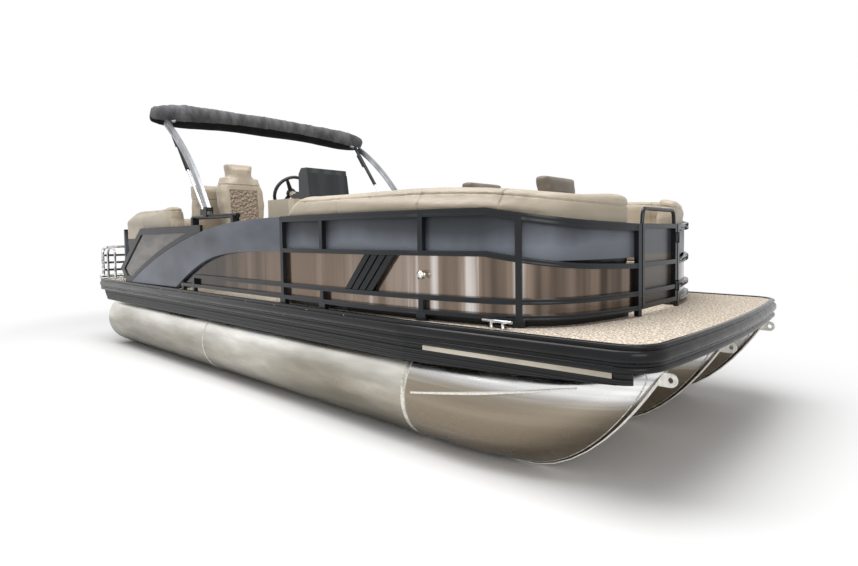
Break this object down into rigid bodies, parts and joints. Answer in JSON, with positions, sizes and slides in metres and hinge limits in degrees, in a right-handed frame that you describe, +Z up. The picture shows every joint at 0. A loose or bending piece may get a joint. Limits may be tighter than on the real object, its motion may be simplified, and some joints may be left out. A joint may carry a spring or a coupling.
{
  "type": "triple-tube pontoon boat",
  "caption": "Open pontoon boat on aluminium tubes, with a fenced deck, couches, a helm, a folding top stowed in its boot and a tilted outboard motor.",
  "frame": {"origin": "on the ground under the keels, at the middle of the overall length and on the centre plane", "axes": "+X forward to the bow, +Y to port, +Z up"},
  "size_m": [8.4747, 2.59, 2.6982],
  "materials": {
    "tube_aluminium": "satin, drawn tube with weld rings",
    "nose_aluminium": "polished, streaky",
    "weld_aluminium": "bead welded bar",
    "frame_aluminium": "mill finish",
    "deck_board": "treated marine board",
    "floor_covering": "speckled woven vinyl",
    "rail_rubber": "ribbed moulding",
    "skirt_black": "ribbed sheet",
    "stripe_beige": "satin decal",
    "fence_graphite": "satin graphite powder coat",
    "panel_graphite": "fine textured graphite",
    "panel_bronze": "gloss bronze brown",
    "smoked_glass": "smoked",
    "trim_black": "satin black",
    "stainless": "polished",
    "couch_plastic": "moulded beige",
    "upholstery": "beige marine vinyl",
    "seat_quilt": "quilted brown vinyl",
    "console_beige": "gel coat",
    "canvas_black": "woven canvas",
    "arch_silver": "bright anodised",
    "motor_paint": "gloss graphite",
    "motor_metal": "satin graphite",
    "engine_iron": "plain"
  },
  "bodies": {
    "hull": {"accent_stripes": "stripe_beige", "aft_windows": "smoked_glass", "bimini_mounts": "trim_black", "chaise_backs": "upholstery", "clamp_brackets": "motor_metal", "cleats": "stainless", "console_body": "console_beige", "console_pod": "trim_black", "couch_backs": "upholstery", "couch_bases": "couch_plastic", "couch_seats": "upholstery", "cross_members": "frame_aluminium", "deck_board": "deck_board", "fence_frame_port": "fence_graphite", "fence_frame_starboard": "fence_graphite", "fence_frame_stern": "fence_graphite", "floor_covering": "floor_covering", "grab_rail": "stainless", "helm_pedestal": "stainless", "keel_strips": "weld_aluminium", "ladder_hinge": "stainless", "louvres": "trim_black", "lower_panels": "panel_bronze", "motor_pod": "frame_aluminium", "nose_cones": "nose_aluminium", "pontoon_tubes": "tube_aluminium", "quarter_panels": "panel_graphite", "quarter_skins": "panel_bronze", "rub_rail": "rail_rubber", "side_lights": "stainless", "side_skirts": "skirt_black", "stern_panel": "panel_graphite", "strakes": "weld_aluminium", "throttle": "trim_black", "tube_brackets": "frame_aluminium", "upper_panels": "panel_graphite", "window_frames": "trim_black", "windscreen": "smoked_glass"},
    "bow_gate": {"bow_gate_frame": "fence_graphite", "bow_gate_panel": "panel_bronze"},
    "side_gate": {"side_gate_frame": "fence_graphite", "side_gate_panel": "panel_bronze"},
    "stern_gate": {"stern_gate_frame": "fence_graphite", "stern_gate_panel": "panel_graphite"},
    "steering_wheel": {"steering_wheel": "trim_black"},
    "helm_seat": {"helm_seat": "upholstery", "helm_seat_arms": "trim_black"},
    "bimini": {"bimini_arch": "arch_silver", "bimini_boot": "canvas_black"},
    "lift_sleeves": {"lift_sleeves": "arch_silver"},
    "lift_rods": {"lift_rods": "stainless"},
    "boarding_ladder": {"boarding_ladder": "stainless"},
    "tilt_bracket": {"swivel_bracket": "motor_metal"},
    "outboard": {"motor_leg": "motor_metal", "motor_cowl": "motor_paint", "engine_block": "engine_iron"},
    "propeller": {"propeller": "stainless"}
  },
  "joints": [
    {"name": "bow_gate_hinge", "type": "hinge", "parent": "hull", "child": "bow_gate", "pos_m": [3.72702, 0.278, 0.826], "axis": [0, 0, 1], "range_deg": [0, 100]},
    {"name": "side_gate_hinge", "type": "hinge", "parent": "hull", "child": "side_gate", "pos_m": [1.5754, 1.21, 0.826], "axis": [0, 0, -1], "range_deg": [0, 90]},
    {"name": "stern_gate_hinge", "type": "hinge", "parent": "hull", "child": "stern_gate", "pos_m": [-2.2036, 1.159, 0.826], "axis": [0, 0, -1], "range_deg": [0, 90]},
    {"name": "wheel_turn", "type": "hinge", "parent": "hull", "child": "steering_wheel", "pos_m": [0.3944, -0.64, 1.69], "axis": [0.8829, 0, -0.4695], "range_deg": [-540, 540]},
    {"name": "seat_swivel", "type": "hinge", "parent": "hull", "child": "helm_seat", "pos_m": [-0.0956, -0.76, 1.13], "axis": [0, 0, 1], "range_deg": [-180, 180]},
    {"name": "top_fold", "type": "hinge", "parent": "hull", "child": "bimini", "pos_m": [-0.0376, 0, 1.53], "axis": [0, 1, 0], "range_deg": [-25, 15]},
    {"name": "sleeve_pin", "type": "hinge", "parent": "bimini", "child": "lift_sleeves", "pos_m": [-1.0103, 0, 2.43706], "axis": [0, 1, 0], "range_deg": [-4.36, 2.82]},
    {"name": "rod_slide", "type": "slide", "parent": "lift_sleeves", "child": "lift_rods", "axis": [0.6147, 0, -0.7888], "range_m": [-0.0821, 0.0501]},
    {"name": "ladder_fold", "type": "hinge", "parent": "hull", "child": "boarding_ladder", "pos_m": [-2.9756, 0, 0.815], "axis": [0, -1, 0], "range_deg": [0, 170]},
    {"name": "motor_tilt", "type": "hinge", "parent": "hull", "child": "tilt_bracket", "pos_m": [-3.0256, 0, 0.722], "axis": [0, 1, 0], "range_deg": [-56, 8]},
    {"name": "motor_steer", "type": "hinge", "parent": "tilt_bracket", "child": "outboard", "pos_m": [-3.11795, 0, 0.8402], "axis": [0.788, 0, 0.6157], "range_deg": [-30, 30]},
    {"name": "propeller_spin", "type": "hinge", "parent": "outboard", "child": "propeller", "pos_m": [-4.06924, 0, 0.6528], "axis": [0.6157, 0, -0.788], "continuous": true}
  ],
  "couplings": [
    {"joint": "sleeve_pin", "follows": "top_fold", "ratio": 0.15455},
    {"joint": "rod_slide", "follows": "top_fold", "m_per_rad": 0.18355},
    {"joint": "motor_steer", "follows": "wheel_turn", "ratio": 0.055556}
  ]
}
